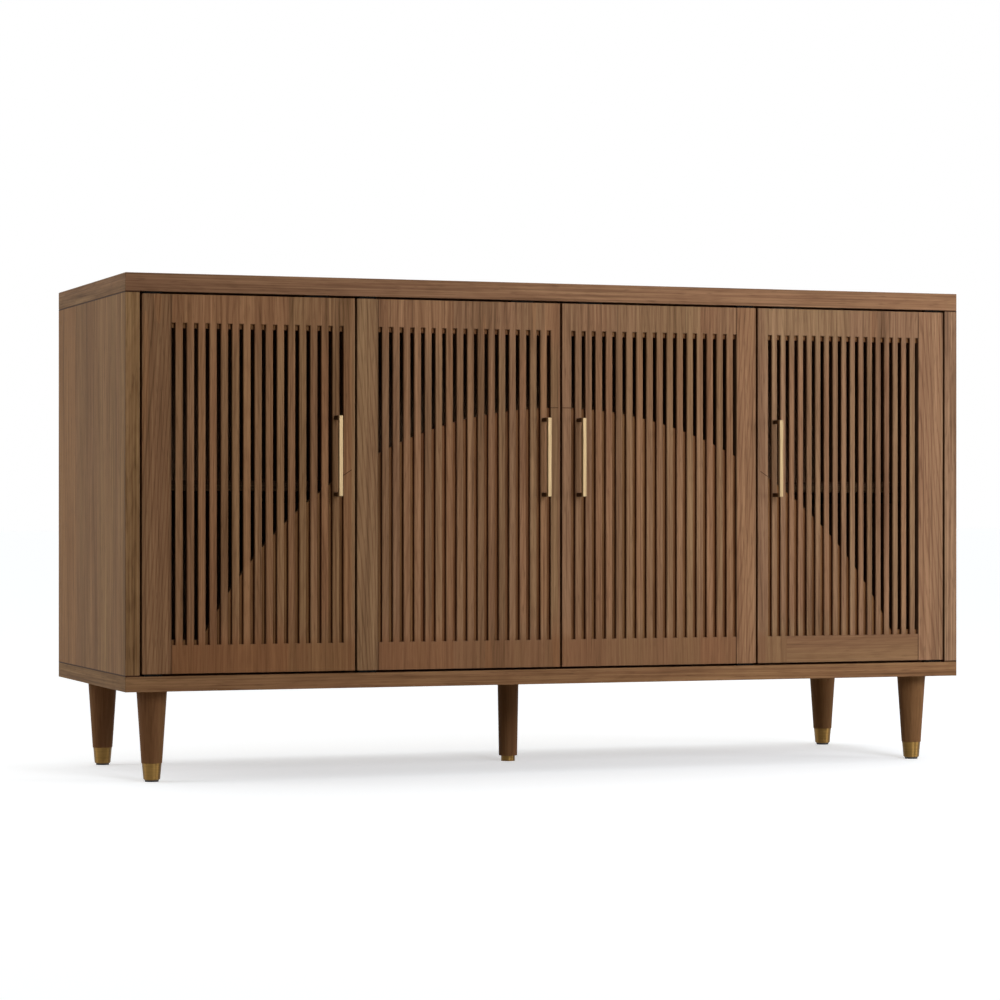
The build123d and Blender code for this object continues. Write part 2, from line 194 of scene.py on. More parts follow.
# A screw head: sides, rounding as a share of its height, and the blades of its recess as shares
# of its size
HEAD_SIDES = 24
HEAD_ROUNDING = 0.55
HEAD_SEGMENTS = 3
BLADE_LENGTH = 1.05
BLADE_WIDTH = 0.26
BLADE_DEPTH = 1.3
BLADE_TAPER = 0.6
SMOOTH_ANGLE = math.radians(35)
# Faces whose normal has this share upwards are the top of the head
UPWARDS = 0.9
# The seat of a screw is looked for from behind the piece
BEHIND = 1.0
FORWARDS = Vector((0.0, -1.0, 0.0))

# Softboxes: place, target, width and height, spread in degrees
LAMPS = {
    "key": ((0.8, -4.2, 1.9), (1.0, -0.25, 0.9), (1.6, 1.6), 75),
    "fill": ((-3.6, 0.8, 1.4), (-0.76, 0.1, 0.7), (1.6, 1.6), 90),
    "side": ((3.2, -2.2, 0.6), (0.2, -0.25, 0.5), (1.2, 1.6), 100),
}
FLOOR_SIZE = 120
# The way to the bright side of the room, up behind the piece, and where the room starts to dim
BRIGHT_WAY = (0.0, 0.8, 0.6)
DIM_START = -0.4


class WalnutSettings(bpy.types.PropertyGroup):
    """Colours and figure of the walnut."""

    dark: bpy.props.StringProperty(
        name="Dark", description="Dark streaks, sRGB hex", default="#5c3f28"
    )
    ground: bpy.props.StringProperty(
        name="Ground", description="Ground colour, sRGB hex", default="#836043"
    )
    light: bpy.props.StringProperty(
        name="Light", description="Pale streaks, sRGB hex", default="#9d7956"
    )
    pore: bpy.props.StringProperty(
        name="Pores", description="Colour in pores and joints, sRGB hex", default="#402a1b"
    )
    # Painted shade on the walls of the grooves
    groove_wall_shade: bpy.props.StringProperty(
        name="Wall stain",
        description="Stain on the walls of the grooves, sRGB hex",
        default="#8d6844",
    )
    # Slight painted shade on the floors of the grooves
    groove_floor_shade: bpy.props.StringProperty(
        name="Floor stain",
        description="Stain on the floors of the grooves, sRGB hex",
        default="#fdf0dc",
    )
    top_band: bpy.props.StringProperty(
        name="Top end bands",
        description="Tint of the bands on the ends of the top, sRGB hex",
        default="#ffffee",
    )
    low_band: bpy.props.StringProperty(
        name="Bottom end bands",
        description="Tint of the bands on the ends of the bottom, sRGB hex",
        default="#e5f5e4",
    )
    low_rail: bpy.props.StringProperty(
        name="Lower rails",
        description="Tint of the rails below the slots, sRGB hex",
        default="#f4ece2",
    )
    leaf_width: bpy.props.FloatProperty(
        name="Leaf width", description="Width of one leaf of veneer", default=0.165, unit="LENGTH"
    )
    ring_width: bpy.props.FloatProperty(
        name="Ring width",
        description="Distance between the growth rings",
        default=0.0075,
        unit="LENGTH",
    )
    streak_width: bpy.props.FloatProperty(
        name="Streak width", description="Width of the streaks", default=0.007, unit="LENGTH"
    )
    fibre_width: bpy.props.FloatProperty(
        name="Fibre width",
        description="Width of the finest lines, drawn coarser than real ones so that they show",
        default=0.003,
        unit="LENGTH",
    )
    case_seam: bpy.props.FloatProperty(
        name="Case seam",
        description="Width of the shadow along a joint of the case, drawn wide so that it shows",
        default=0.005,
        unit="LENGTH",
    )
    door_seam: bpy.props.FloatProperty(
        name="Door seam",
        description="Width of the shadow along a joint of a door, drawn wide so that it shows",
        default=0.003,
        unit="LENGTH",
    )
    roughness: bpy.props.FloatProperty(
        name="Roughness", description="Roughness of the matt lacquer", default=0.6, subtype="FACTOR"
    )
    gloss: bpy.props.FloatProperty(
        name="Gloss", description="Specular level of the lacquer", default=0.05, subtype="FACTOR"
    )


class FrontSettings(bpy.types.PropertyGroup):
    """The arch that crosses the door fronts."""

    arch_radius: bpy.props.FloatProperty(
        name="Arch radius", description="Radius of the arch", default=0.708, unit="LENGTH"
    )
    arch_centre: bpy.props.FloatProperty(
        name="Arch centre",
        description="Height of the centre of the arch",
        default=-0.083,
        unit="LENGTH",
    )
    arch_line: bpy.props.FloatProperty(
        name="Arch line",
        description="Width of the joint along the arch, drawn wide so that it shows",
        default=0.0012,
        unit="LENGTH",
    )
    rail: bpy.props.FloatProperty(
        name="Rail",
        description="Height of the rails above and below the slots",
        default=0.047,
        unit="LENGTH",
    )


class HardwareSettings(bpy.types.PropertyGroup):
    """Metal pieces."""

    pull_dark: bpy.props.StringProperty(
        name="Pull, dark", description="Dark brush lines of the pulls, sRGB hex", default="#857052"
    )
    pull_light: bpy.props.StringProperty(
        name="Pull, light",
        description="Bright brush lines of the pulls, sRGB hex",
        default="#a58d69",
    )
    # Painted shade on the posts of the pulls, behind the bar
    painted_shade: bpy.props.StringProperty(
        name="Patina",
        description="Tint of the patina on the posts of the pulls, sRGB hex",
        default="#8c7a6a",
    )
    pull_bar: bpy.props.FloatProperty(
        name="Pull bar", description="Depth of the bar of a pull", default=0.007, unit="LENGTH"
    )
    ferrule_dark: bpy.props.StringProperty(
        name="Ferrule, dark", description="Dark lines of the ferrules, sRGB hex", default="#745930"
    )
    ferrule_light: bpy.props.StringProperty(
        name="Ferrule, light",
        description="Bright lines of the ferrules, sRGB hex",
        default="#8b6c3c",
    )
    screw_head: bpy.props.FloatProperty(
        name="Screw head", description="Diameter of a screw head", default=0.008, unit="LENGTH"
    )
    screw_rise: bpy.props.FloatProperty(
        name="Screw rise", description="Height of a screw head", default=0.0024, unit="LENGTH"
    )
    back_screw_spacing: bpy.props.FloatProperty(
        name="Back screws",
        description="Greatest distance of the back screws",
        default=0.19,
        unit="LENGTH",
    )
    back_screw_inset: bpy.props.FloatProperty(
        name="Back screw inset",
        description="Back screws to the edge of the board",
        default=0.009,
        unit="LENGTH",
    )
    pull_centres: bpy.props.FloatProperty(
        name="Pull centres",
        description="Distance of the two posts of a pull",
        default=0.128,
        unit="LENGTH",
    )


class StudioSettings(bpy.types.PropertyGroup):
    """Camera, lamps and floor."""

    camera_place: bpy.props.FloatVectorProperty(
        name="Camera",
        description="Place of the camera",
        default=(-1.9307, -5.2442, 0.4503),
        unit="LENGTH",
    )
    camera_turn: bpy.props.FloatProperty(
        name="Turn",
        description="Turn of the camera to the right",
        default=math.radians(19.995),
        unit="ROTATION",
    )
    lens: bpy.props.FloatProperty(
        name="Lens", description="Focal length on a 36 mm sensor", default=112.49, unit="CAMERA"
    )
    lift: bpy.props.FloatProperty(
        name="Lift",
        description="Upward shift of the lens as a share of the picture",
        default=0.0097,
    )
    key: bpy.props.StringProperty(
        name="Key light", description="Softbox in front, sRGB hex", default="#f1f6ff"
    )
    fill: bpy.props.StringProperty(
        name="Fill light", description="Softboxes at the sides, sRGB hex", default="#ffffff"
    )
    key_power: bpy.props.FloatProperty(
        name="Key", description="Power of the softbox in front", default=23.5, unit="POWER"
    )
    fill_power: bpy.props.FloatProperty(
        name="Fill", description="Power of the softbox on the left", default=6.5, unit="POWER"
    )
    side_power: bpy.props.FloatProperty(
        name="Side", description="Power of the softbox on the right", default=18.0, unit="POWER"
    )
    room: bpy.props.FloatProperty(
        name="Room", description="Brightness of the room in front of the piece", default=0.12
    )
    floor: bpy.props.StringProperty(
        name="Floor", description="Paper floor, sRGB hex", default="#eff2f3"
    )
    floor_bounce: bpy.props.StringProperty(
        name="Floor bounce",
        description="Colour that the floor throws back at the piece, sRGB hex",
        default="#c4bfb6",
    )
    floor_lift: bpy.props.FloatProperty(
        name="Floor lift",
        description="Light that the camera sees on top of the lit floor",
        default=0.44,
    )


def linear(hex_colour):
    """A linear RGBA colour from an sRGB hex value."""
    parts = [int(hex_colour[i : i + 2], 16) / 255 for i in (1, 3, 5)]
    return (*[c / 12.92 if c <= 0.04045 else ((c + 0.055) / 1.055) ** 2.4 for c in parts], 1.0)


def add(tree, kind, inputs=None, output=0, stops=(), **settings):
    """Add a node, set it up, fill its sockets with values or links, and give one of its outputs."""
    node = tree.nodes.new("ShaderNode" + kind)
    for name, value in settings.items():
        setattr(node, name, value)
    for socket, value in (inputs or {}).items():
        if isinstance(value, bpy.types.NodeSocket):
            tree.links.new(value, node.inputs[socket])
        else:
            node.inputs[socket].default_value = value
    for index, (position, colour) in enumerate(stops):
        elements = node.color_ramp.elements
        stop = elements[index] if index < 2 else elements.new(position)
        stop.position = position
        stop.color = linear(colour)
    return node.outputs[output]


def new_material(name):
    """An empty node material: the material, its tree and the socket for its surface."""
    material = bpy.data.materials.new(name)
    material.use_nodes = True
    tree = material.node_tree
    tree.nodes.clear()
    return material, tree, tree.nodes.new("ShaderNodeOutputMaterial").inputs["Surface"]


def dress(material, *names):
    """Give CAD nodes a material."""
    for name in names:
        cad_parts[name].data.materials.clear()
        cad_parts[name].data.materials.append(material)


def slot_layout(door):
    """The slots of a panel: left edge of the first, pitch, width, foot, head and number."""
    low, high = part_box(f"door_{door}_slats")
    rail = bpy.context.scene.sideboard_front.rail
    foot, head = low.z + rail, high.z - rail
    corners = [vertex.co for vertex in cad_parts[f"door_{door}_slats"].data.vertices]
    rear = [corner for corner in corners if high.y - corner.y < NEAR]
    edges = sorted({round(corner.x, 5) for corner in rear if abs(corner.z - foot) < NEAR})
    starts = edges[0::2]
    pitch = (starts[-1] - starts[0]) / (len(starts) - 1)
    return starts[0], pitch, edges[1] - edges[0], foot, head, len(starts)


def front_zones(tree, point, door):
    """On a slotted front: the number of the slat, and four masks.

    The masks show the slats, fading towards the rails, the lower rail, the part of it whose grain
    runs crossways, on one door only, and the joint along the arch, which shows only on the narrow
    stile beside the pull.
    """
    arch = bpy.context.scene.sideboard_front
    first, pitch, _, foot, head, count = slot_layout(door)
    x = add(tree, "SeparateXYZ", {0: point}, "X")
    z = add(tree, "SeparateXYZ", {0: point}, "Z")
    # The step lies inside a slot, so that both walls of a slat share its number
    slat = add(tree, "Math", {0: x, 1: first + INSIDE_SLOT}, operation="SUBTRACT")
    slat = add(tree, "Math", {0: slat, 1: pitch}, operation="DIVIDE")
    slat = add(tree, "Math", {0: slat}, operation="FLOOR")
    slats = add(tree, "Math", {0: z, 1: (foot + head) / 2}, operation="SUBTRACT")
    slats = add(tree, "Math", {0: slats}, operation="ABSOLUTE")
    half = (head - foot) / 2
    slats = {"Value": slats, "From Min": half, "From Max": half - SLATS_FADE}
    slats = add(tree, "MapRange", slats, interpolation_type="SMOOTHSTEP")
    low_rail = {"Value": z, "From Min": foot + RAIL_ABOVE, "From Max": foot - RAIL_BELOW}
    low_rail = add(tree, "MapRange", low_rail, interpolation_type="SMOOTHSTEP")
    cross_rail = add(tree, "Math", {0: z, 1: foot}, operation="LESS_THAN")
    cross_side = {0: slat, 1: CROSS_RAIL_START if door == CROSS_RAIL_DOOR else count}
    cross_side = add(tree, "Math", cross_side, operation="GREATER_THAN")
    cross_rail = add(tree, "Math", {0: cross_rail, 1: cross_side}, operation="MULTIPLY")
    rise = add(tree, "Math", {0: z, 1: arch.arch_centre}, operation="SUBTRACT")
    reach = add(tree, "CombineXYZ", {"X": x, "Z": rise})
    reach = add(tree, "VectorMath", {0: reach}, "Value", operation="LENGTH")
    joint = {0: reach, 1: arch.arch_radius, 2: arch.arch_line / 2}
    joint = add(tree, "Math", joint, operation="COMPARE")
    stile = count - 1 if door in LEFT_HUNG else -1
    stile = add(tree, "Math", {0: slat, 1: stile, 2: SAME_SLAT}, operation="COMPARE")
    joint = add(tree, "Math", {0: joint, 1: stile}, operation="MULTIPLY")
    return slat, slats, low_rail, cross_rail, joint


def groove_corners(tree, point, door):
    """A mask of the corners of a door's grooves, where painted shade darkens them."""
    first, pitch, width = slot_layout(door)[:3]
    place = add(tree, "SeparateXYZ", {0: point}, "X")
    place = add(tree, "Math", {0: place, 1: first}, operation="SUBTRACT")
    place = add(tree, "Math", {0: place, 1: pitch}, operation="FLOORED_MODULO")
    place = add(tree, "Math", {0: place, 1: width / 2}, operation="SUBTRACT")
    place = add(tree, "Math", {0: place}, operation="ABSOLUTE")
    corner = {"Value": place, "From Min": width / 2 - CORNER_SHADE_START, "From Max": width / 2 - CORNER_SHADE_FULL}
    return add(tree, "MapRange", corner)


def groove_shade(tree, point, colour, groove, shaded_corners):
    """Painted shade on the walls and floors of the grooves, darker deeper in, up to the rear of the
    panel.
    """
    face, floor, rear, darkening = groove
    deep = add(tree, "SeparateXYZ", {0: point}, "Y")
    above = add(tree, "Math", {0: deep, 1: rear}, operation="LESS_THAN")
    deep = {"Value": deep, "From Min": face + GROOVE_SHADE_START, "From Max": floor - GROOVE_SHADE_FULL}
    deep = add(tree, "MapRange", deep)
    deep = add(tree, "Math", {0: deep, 1: above}, operation="MULTIPLY")
    deep = {FACTOR: deep, A_COLOUR: colour, B_COLOUR: linear(darkening)}
    colour = add(tree, "Mix", deep, COLOUR_OUT, **TINTED)
    # Painted shade in the corners of the grooves
    if shaded_corners:
        groove_wall_shade = linear(bpy.context.scene.sideboard_walnut.groove_wall_shade)
        corner_shade = add(tree, "Math", {0: groove_corners(tree, point, shaded_corners), 1: above}, operation="MULTIPLY")
        corner_shade = {FACTOR: corner_shade, A_COLOUR: colour, B_COLOUR: groove_wall_shade}
        colour = add(tree, "Mix", corner_shade, COLOUR_OUT, **TINTED)
    return colour


def leaves(tree, grain, leaf):
    """Leaves side by side, each from another place in the log.

    Gives the place in the log, the way across the leaf from 0 to 1, and a number by chance.
    """
    across = add(tree, "SeparateXYZ", {0: grain}, "X")
    across = add(tree, "Math", {0: across, 1: leaf}, operation="DIVIDE")
    number = add(tree, "Math", {0: across}, operation="FLOOR")
    across = add(tree, "Math", {0: across}, operation="FRACT")
    chance = add(tree, "TexWhiteNoise", {"W": number}, "Value", noise_dimensions="1D")
    place = add(tree, "TexWhiteNoise", {"W": number}, "Color", noise_dimensions="1D")
    grain = add(tree, "VectorMath", {0: place, 1: LEAF_SCATTER, 2: grain}, operation="MULTIPLY_ADD")
    return grain, across, chance


def streaks(tree, grain, wood):
    """Noise drawn out along the grain: clouds, streaks, fibres, dark lines and pores."""
    layers = []
    for width, length, detail, output in (
        (CLOUD_WIDTH, CLOUD_LENGTH, 2.0, "Color"),
        (wood.streak_width, STREAK_LENGTH, 3.0, 0),
        (wood.fibre_width, FIBRE_LENGTH, 2.0, 0),
        (LINE_WIDENING * wood.fibre_width, LINE_LENGTH, 1.0, 0),
        (PORE_WIDTH, PORE_LENGTH, 1.0, 0),
    ):
        drawn = (1 / width, 1 / width, 1 / length)
        drawn = add(tree, "VectorMath", {0: grain, 1: drawn}, operation="MULTIPLY")
        noise = {"Vector": drawn, "Scale": 1.0, "Detail": detail}
        layers.append(add(tree, "TexNoise", noise, output))
    return layers


def growth_rings(tree, across, along, chance, leaf, broad, streak, ring_width):
    """Growth rings of a slightly conical log, cut by the leaf beside its heart."""
    side = add(tree, "Math", {0: chance, 1: HEART_RANGE, 2: HEART_START}, operation="MULTIPLY_ADD")
    side = add(tree, "Math", {0: across, 1: side}, operation="SUBTRACT")
    side = add(tree, "Math", {0: side, 1: leaf}, operation="MULTIPLY")
    ring = add(tree, "CombineXYZ", {"X": side, "Y": HEART})
    ring = add(tree, "VectorMath", {0: ring}, "Value", operation="LENGTH")
    ring = add(tree, "Math", {0: along, 1: LOG_TAPER, 2: ring}, operation="MULTIPLY_ADD")
    ring = add(tree, "Math", {0: broad, 1: RING_WANDER, 2: ring}, operation="MULTIPLY_ADD")
    ring = add(tree, "Math", {0: ring, 1: 2 * math.pi / ring_width}, operation="MULTIPLY")
    ring = add(tree, "Math", {0: streak, 1: RING_RAGGED, 2: ring}, operation="MULTIPLY_ADD")
    ring = add(tree, "Math", {0: ring}, operation="SINE")
    return add(tree, "MapRange", {"Value": ring, "From Min": RING_DARK})


def walnut(
    name,
    turn,
    seed,
    figure=0.5,
    contrast=1.0,
    leaf=None,
    shade=None,
    door=None,
    groove=None,
    shaded_corners=None,
    banded=None,
    seams=(),
):
    """Sliced walnut under matt lacquer: soft streaks, arched figure, open pores and leaf joints.

    Figure is the strength of the arches. Door is the number of a slotted front. Groove is the depth
    of a door's face, of the floor of its slots and of the end of the painted shade, and its colour.
    Shaded corners is the door whose grooves get painted shade in their corners. Banded is the tint
    of the bands on a panel's ends. A seam is an axis, a position, a width and a strength.
    """
    wood = bpy.context.scene.sideboard_walnut
    leaf = leaf or wood.leaf_width
    material, tree, surface = new_material(name)
    point = add(tree, "TexCoord", output="Object")
    if banded:
        # Bands on the ends of the panel have their grain along the band
        facing = add(tree, "TexCoord", output="Normal")
        facing = add(tree, "VectorMath", {0: facing}, operation="ABSOLUTE")
        facing = add(tree, "SeparateXYZ", {0: facing}, "X")
        facing = add(tree, "Math", {0: facing, 1: END_FACING}, operation="GREATER_THAN")
        along_end = add(tree, "Mapping", {"Vector": point, "Rotation": UPRIGHT_SIDE})
        ends = {FACTOR: facing, A_VECTOR: point, B_VECTOR: along_end}
        point = add(tree, "Mix", ends, VECTOR_OUT, **VECTORS)
    start = [step * seed for step in SEED_STEPS]
    grain = add(tree, "Mapping", {"Vector": point, "Rotation": turn, "Location": start})
    if door:
        slat, slats, low_rail, cross_rail, joint = front_zones(tree, point, door)
        crossways = {"Vector": point, "Rotation": LENGTHWISE, "Location": start}
        crossways = add(tree, "Mapping", crossways)
        crossways = {FACTOR: cross_rail, A_VECTOR: grain, B_VECTOR: crossways}
        grain = add(tree, "Mix", crossways, VECTOR_OUT, **VECTORS)
    along = add(tree, "SeparateXYZ", {0: grain}, "Z")
    grain, across, chance = leaves(tree, grain, leaf)
    clouds, streak, fibre, line, pore = streaks(tree, grain, wood)
    broad = add(tree, "SeparateXYZ", {0: clouds}, "X")
    warmth = add(tree, "SeparateXYZ", {0: clouds}, "Y")
    ring = growth_rings(tree, across, along, chance, leaf, broad, streak, wood.ring_width)

    # The sum of the patterns picks the colour
    tone = FIGURE_LIFT * figure - TONE_DROP
    for layer, share in (
        (broad, BROAD_SHARE),
        (streak, STREAK_SHARE),
        (fibre, FIBRE_SHARE),
        (ring, RING_SHARE * figure),
    ):
        tone = add(tree, "Math", {0: layer, 1: share, 2: tone}, operation="MULTIPLY_ADD")
    middle = MIDDLE_TONE - MIDDLE_TONE * contrast
    tone = add(tree, "Math", {0: tone, 1: contrast, 2: middle}, operation="MULTIPLY_ADD")
    stops = ((DARK_TONE, wood.dark), (LIGHT_TONE, wood.light), (MIDDLE_TONE, wood.ground))
    colour = add(tree, "ValToRGB", {"Fac": tone}, stops=stops)

    # Dark lines and pores
    marks = []
    for layer, (begin, full, depth) in ((pore, PORE_MARKS), (line, LINE_MARKS)):
        mark = {"Value": layer, "From Min": begin, "From Max": full, "To Max": depth * contrast}
        marks.append(add(tree, "MapRange", mark))
    pore = add(tree, "Math", {0: marks[0], 1: marks[1]}, operation="MAXIMUM")
    dark = {FACTOR: pore, A_COLOUR: colour, B_COLOUR: linear(wood.pore)}
    colour = add(tree, "Mix", dark, COLOUR_OUT, **COLOURS)

    # Tints of leaves, slats, rails and bands
    tint = add(tree, "Math", {0: warmth, 1: WARMTH_WEIGHT, 2: chance}, operation="MULTIPLY_ADD")
    tint = add(tree, "Math", {0: tint}, operation="FRACT")
    tint = add(tree, "ValToRGB", {"Fac": tint}, stops=LEAF_TINTS)
    joints = []
    if door:
        calm = add(tree, "Math", {0: low_rail, 1: RAIL_CALM}, operation="MULTIPLY")
        calm = {FACTOR: calm, A_COLOUR: colour, B_COLOUR: linear(wood.ground)}
        colour = add(tree, "Mix", calm, COLOUR_OUT, **COLOURS)
        lower = {FACTOR: low_rail, A_COLOUR: colour, B_COLOUR: linear(wood.low_rail)}
        colour = add(tree, "Mix", lower, COLOUR_OUT, **TINTED)
        own = add(tree, "TexWhiteNoise", {"W": slat}, "Value", noise_dimensions="1D")
        own = add(tree, "ValToRGB", {"Fac": own}, stops=LEAF_TINTS)
        own = {FACTOR: slats, A_COLOUR: tint, B_COLOUR: own}
        tint = add(tree, "Mix", own, COLOUR_OUT, **COLOURS)
        joints.append(joint)
    colour = add(tree, "Mix", {FACTOR: 1.0, A_COLOUR: colour, B_COLOUR: tint}, COLOUR_OUT, **TINTED)
    if banded:
        ends = {FACTOR: facing, A_COLOUR: colour, B_COLOUR: linear(banded)}
        colour = add(tree, "Mix", ends, COLOUR_OUT, **TINTED)
    if shade:
        shade = dict(zip(("Hue", "Saturation", "Value"), shade))
        colour = add(tree, "HueSaturation", {"Color": colour, **shade})
    # Painted shade in the grooves, darker deeper in
    if groove:
        colour = groove_shade(tree, point, colour, groove, shaded_corners)
    for axis, position, width, strength in seams:
        seam = add(tree, "SeparateXYZ", {0: point}, axis)
        seam = add(tree, "Math", {0: seam, 1: position, 2: width / 2}, operation="COMPARE")
        joints.append(add(tree, "Math", {0: seam, 1: strength}, operation="MULTIPLY"))
    for joint in joints:
        shadow = {FACTOR: joint, A_COLOUR: colour, B_COLOUR: linear(wood.pore)}
        colour = add(tree, "Mix", shadow, COLOUR_OUT, **COLOURS)

    relief = add(tree, "Math", {0: pore, 1: PORE_SINK, 2: fibre}, operation="MULTIPLY_ADD")
    relief = {"Height": relief, "Strength": GRAIN_STRENGTH, "Distance": GRAIN_HEIGHT}
    relief = add(tree, "Bump", relief)
    dull, smooth = wood.roughness + ROUGHNESS_SPREAD, wood.roughness - ROUGHNESS_SPREAD
    rough = add(tree, "MapRange", {"Value": fibre, "To Min": dull, "To Max": smooth})
    lacquer = {
        "Base Color": colour,
        "Roughness": rough,
        "Specular IOR Level": wood.gloss,
        "Normal": relief,
    }
    tree.links.new(add(tree, "BsdfPrincipled", lacquer), surface)
    return material


def surface_finish(name, dark, light, grain, roughness, metallic=0.0, turned=0.0, painted_shade=None):
    """A finish with lines or specks of a size along X, Y and Z: brushed, moulded, plated or sawn.

    Lines turned round an upright piece spread its gloss up and down. Painted shade is a depth and a
    tint: it darkens what lies behind that depth.
    """
    material, tree, surface = new_material(name)
    point = add(tree, "TexCoord", output="Object")
    drawn = tuple(1 / size for size in grain)
    drawn = add(tree, "VectorMath", {0: point, 1: drawn}, operation="MULTIPLY")
    specks = add(tree, "TexNoise", {"Vector": drawn, "Scale": 1.0, "Detail": 2.0})
    stops = ((FINISH_DARK, dark), (FINISH_LIGHT, light))
    colour = add(tree, "ValToRGB", {"Fac": specks}, stops=stops)
    # Painted shade behind a depth
    if painted_shade:
        depth, dull = painted_shade
        deep = add(tree, "SeparateXYZ", {0: point}, "Y")
        deep = {"Value": deep, "From Min": depth, "From Max": depth + POST_SHADE_FADE}
        deep = add(tree, "MapRange", deep)
        deep = {FACTOR: deep, A_COLOUR: colour, B_COLOUR: linear(dull)}
        colour = add(tree, "Mix", deep, COLOUR_OUT, **TINTED)
    least, most = roughness - FINISH_SPREAD, roughness + FINISH_SPREAD
    rough = add(tree, "MapRange", {"Value": specks, "To Min": least, "To Max": most})
    bump = {"Height": specks, "Strength": FINISH_STRENGTH, "Distance": FINISH_HEIGHT}
    bump = add(tree, "Bump", bump)
    shader = {"Base Color": colour, "Roughness": rough, "Metallic": metallic, "Normal": bump}
    if turned:
        facing = add(tree, "NewGeometry", output="Normal")
        way = add(tree, "VectorMath", {0: facing, 1: (0.0, 0.0, 1.0)}, operation="CROSS_PRODUCT")
        way = add(tree, "VectorMath", {0: way, 1: facing}, operation="CROSS_PRODUCT")
        shader.update({"Anisotropic": turned, "Tangent": way})
    tree.links.new(add(tree, "BsdfPrincipled", shader), surface)
    return material


def zinc_plating(name):
    """Zinc plated steel: pale grey with soft spangles, finer on small pieces than on sheets."""
    grain = (3 * MM, 3 * MM, 3 * MM)
    return surface_finish(name, "#9a9c9e", "#c4c6c8", grain, roughness=0.35, metallic=1.0)


class SIDEBOARD_OT_case(bpy.types.Operator):
    """Finish the case: top, bottom, sides, dividers, shelves and back board"""

    bl_idname = "sideboard.case"
    bl_label = "Case"

    def execute(self, context):
        wood = context.scene.sideboard_walnut
        for name, band in (("top_panel", wood.top_band), ("bottom_panel", wood.low_band)):
            veneer = walnut(
                f"walnut veneer {name}",
                LENGTHWISE,
                SEEDS[name],
                figure=0.3,
                leaf=LEAVES["panels"],
                shade=SHADES[name],
                banded=band,
            )
            dress(veneer, name)
        for name in ("side_left", "side_right", "divider_left", "divider_right"):
            low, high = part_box(name)
            joints = [("Z", corner.z, wood.case_seam, 1.0) for corner in (low, high)]
            joints.append(("Y", low.y + EDGING_DEPTH, EDGING_SEAM, EDGING_STRENGTH))
            veneer = walnut(
                f"walnut veneer {name}",
                UPRIGHT_SIDE,
                SEEDS[name],
                figure=0.4,
                contrast=1.25,
                leaf=LEAVES["uprights"],
                shade=SHADES[name],
                seams=joints,
            )
            dress(veneer, name)
        # Shelves and cleats are drawn dark as painted shade, so that the open slots look deep
        shade = SHADES["shelves"]
        shelf = walnut(
            "walnut veneer shelves", LENGTHWISE, SEEDS["shelves"], figure=0.4, shade=shade
        )
        dress(shelf, "shelf_left", "shelf_centre", "shelf_right")
        cleats = walnut("solid walnut cleats", UPRIGHT_SIDE, SEEDS["cleats"], shade=shade)
        dress(cleats, "shelf_cleats")
        board = walnut(
            "walnut faced back board",
            UPRIGHT_FRONT,
            SEEDS["back_panel"],
            figure=0.9,
            leaf=LEAVES["back_panel"],
            shade=SHADES["back_panel"],
        )
        dress(board, "back_panel")
        # Birch plywood: pale plies about 1.5 mm thick, seen only in the joints
        grain = (1.5 * MM, 60 * MM, 60 * MM)
        birch = surface_finish("birch plywood", "#a5814f", "#d8b98a", grain, roughness=0.6)
        dress(birch, "carcass_splines")
        return {"FINISHED"}


class SIDEBOARD_OT_doors(bpy.types.Operator):
    """Finish the doors: hinge stiles, slotted panels and the boards behind them"""

    bl_idname = "sideboard.doors"
    bl_label = "Doors"

    def execute(self, context):
        wood = context.scene.sideboard_walnut
        for door in DOORS:
            # The doors grow paler towards the right: partly veneer, partly painted light from the
            # right
            shade = SHADES[f"door_{door}"]
            low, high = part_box(f"door_{door}_stile")
            edge = high.x if door in LEFT_HUNG else low.x
            joints = [("X", edge, wood.door_seam, STILE_STRENGTH)]
            stile = walnut(
                f"walnut veneer stile {door}",
                UPRIGHT_FRONT,
                SEEDS["stile"] + door,
                figure=1.0,
                shade=shade,
                seams=joints,
            )
            dress(stile, f"door_{door}_stile")
            face, floor = [corner.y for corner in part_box(f"door_{door}_slats")]
            # The walls of the slots get painted shade, darker deeper in
            slats = walnut(
                f"walnut veneer slats {door}",
                UPRIGHT_FRONT,
                SEEDS["slats"] + door,
                shade=shade,
                door=door,
                groove=(face, floor, floor - NEAR, wood.groove_wall_shade),
                seams=joints,
            )
            dress(slats, f"door_{door}_slats")
            # The floors of the grooves get a slight painted shade, darker in their corners
            backing = walnut(
                f"walnut veneer backing {door}",
                UPRIGHT_FRONT,
                SEEDS["backing"] + door,
                groove=(face, floor, floor + NEAR, wood.groove_floor_shade),
                shaded_corners=door,
            )
            dress(backing, f"door_{door}_backing")
        return {"FINISHED"}


class SIDEBOARD_OT_legs(bpy.types.Operator):
    """Finish the legs, their ferrules and the glides"""

    bl_idname = "sideboard.legs"
    bl_label = "Legs"

    def execute(self, context):
        hardware = context.scene.sideboard_hardware
        wood = walnut(
            "solid walnut legs",
            UPRIGHT_FRONT,
            SEEDS["legs"],
            figure=0.3,
            contrast=0.5,
            leaf=LEAVES["legs"],
            shade=SHADES["legs"],
        )
        dress(wood, "legs")
        # Turned brass: fine lines run round the ferrule, drawn coarser than the tool marks
        grain = (40 * MM, 40 * MM, 1.2 * MM)
        brass = surface_finish(
            "turned antique brass",
            hardware.ferrule_dark,
            hardware.ferrule_light,
            grain,
            roughness=0.5,
            metallic=1.0,
            turned=0.9,
        )
        dress(brass, "ferrules")
        # Moulded nylon: a fine even texture
        nylon = surface_finish("moulded nylon", "#0e0e0e", "#1b1b1b", MOULDED_GRAIN, roughness=0.6)
        dress(nylon, "glides")
        return {"FINISHED"}


